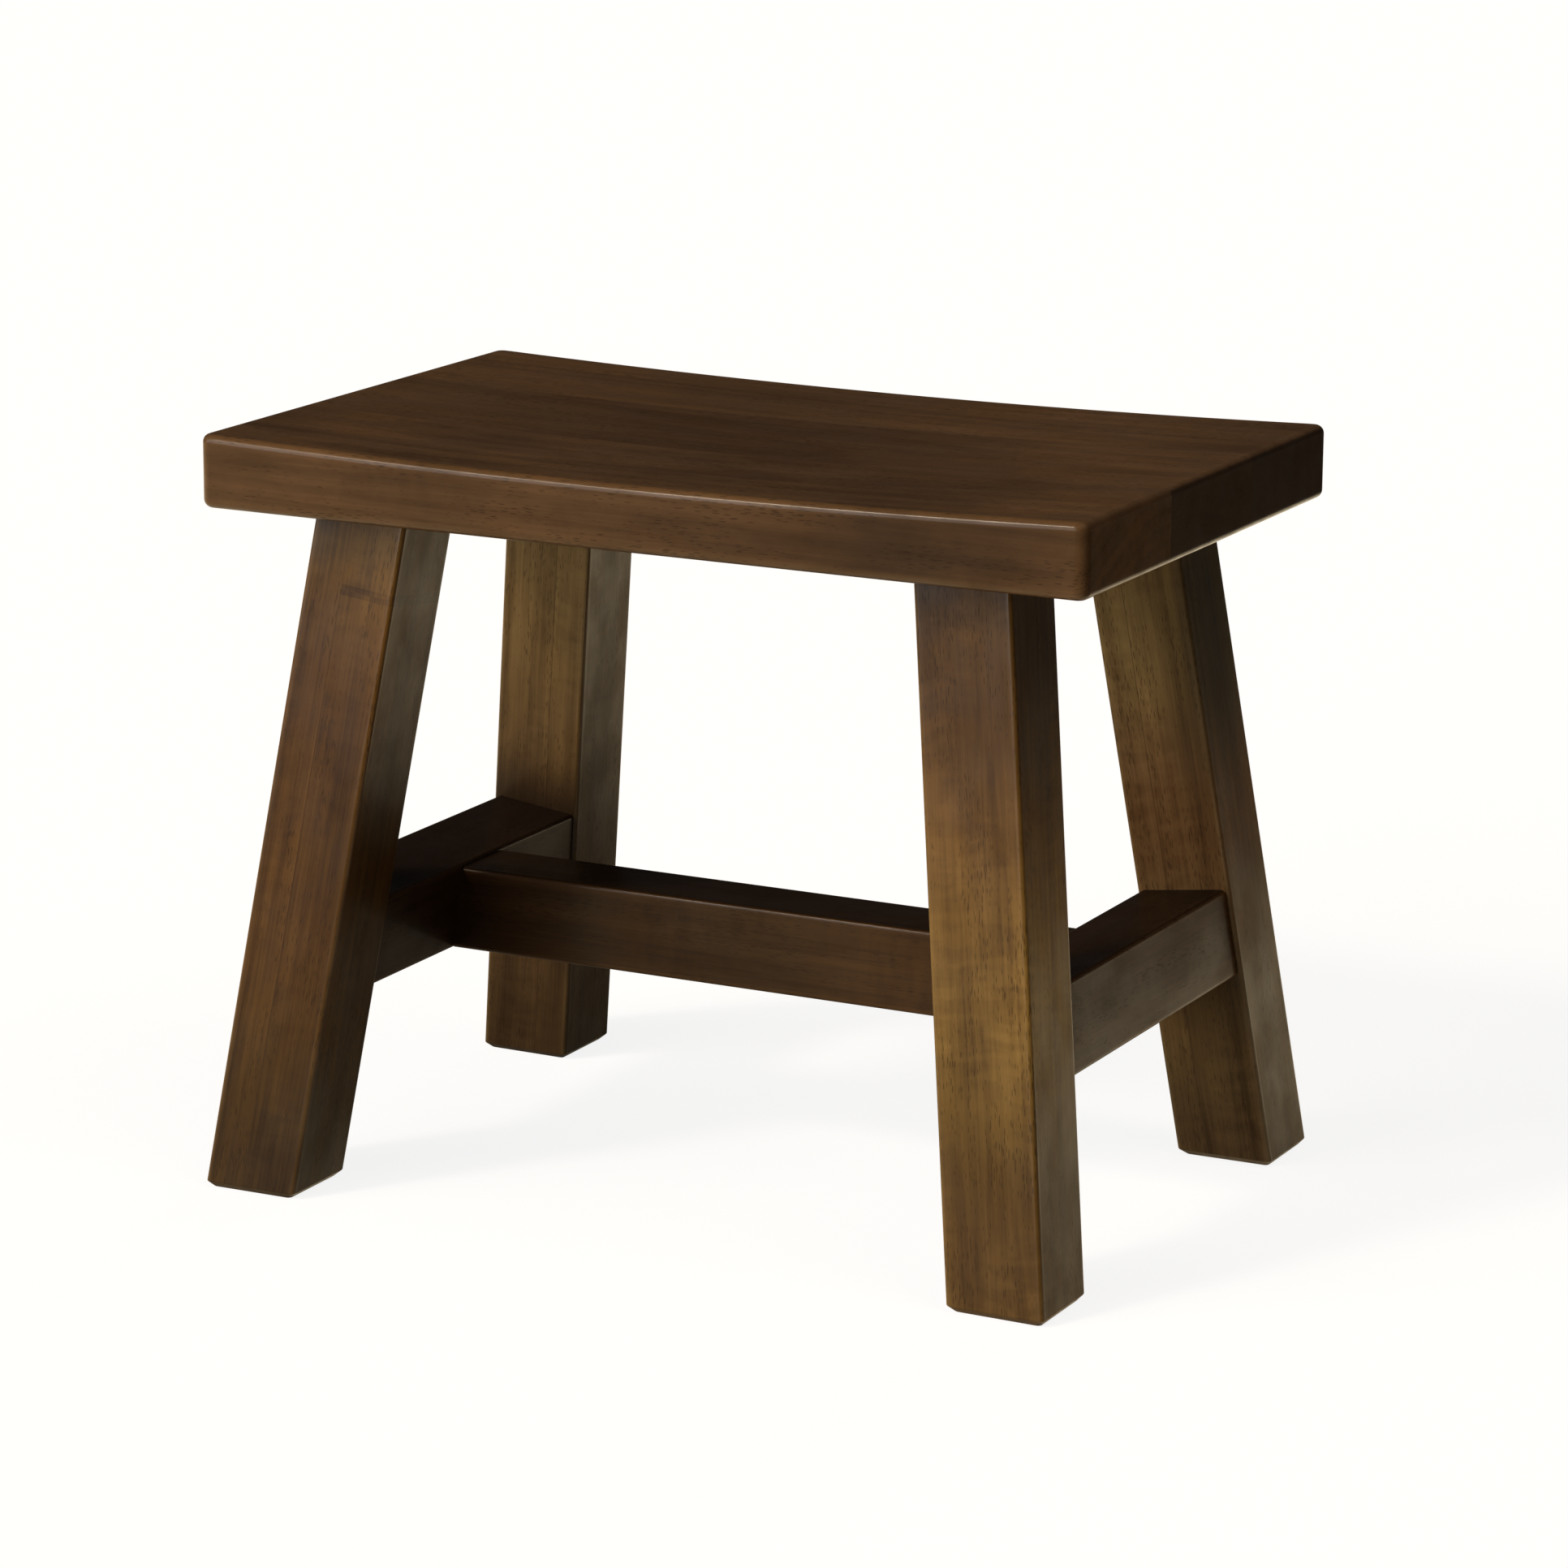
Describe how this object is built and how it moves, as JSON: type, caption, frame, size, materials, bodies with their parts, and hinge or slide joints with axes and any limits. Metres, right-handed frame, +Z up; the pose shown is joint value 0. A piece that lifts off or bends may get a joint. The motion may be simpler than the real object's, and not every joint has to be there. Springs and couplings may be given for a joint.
{
  "type": "wooden stool",
  "caption": "Low wooden stool with a dished rectangular seat, square legs that splay both ways and stretchers in an H, for sitting or stepping on.",
  "frame": {"origin": "on the floor, under the middle of the seat", "axes": "+X along the seat to its right end, +Y to its back edge, +Z up"},
  "size_m": [0.45, 0.3114, 0.36],
  "materials": {
    "seat_wood": "walnut stain under satin lacquer, the darkest face of the stool",
    "leg_wood": "walnut stain under satin lacquer, short dark pores along the leg",
    "stretcher_wood": "walnut stain under satin lacquer",
    "dowel_wood": "bare beech"
  },
  "bodies": {
    "root": {"seat_front_board": "seat_wood", "seat_middle_board": "seat_wood", "seat_back_board": "seat_wood", "leg_front_left": "leg_wood", "leg_front_right": "leg_wood", "leg_back_left": "leg_wood", "leg_back_right": "leg_wood", "end_stretcher_left": "stretcher_wood", "end_stretcher_right": "stretcher_wood", "centre_stretcher": "stretcher_wood", "leg_dowels": "dowel_wood"}
  },
  "joints": []
}
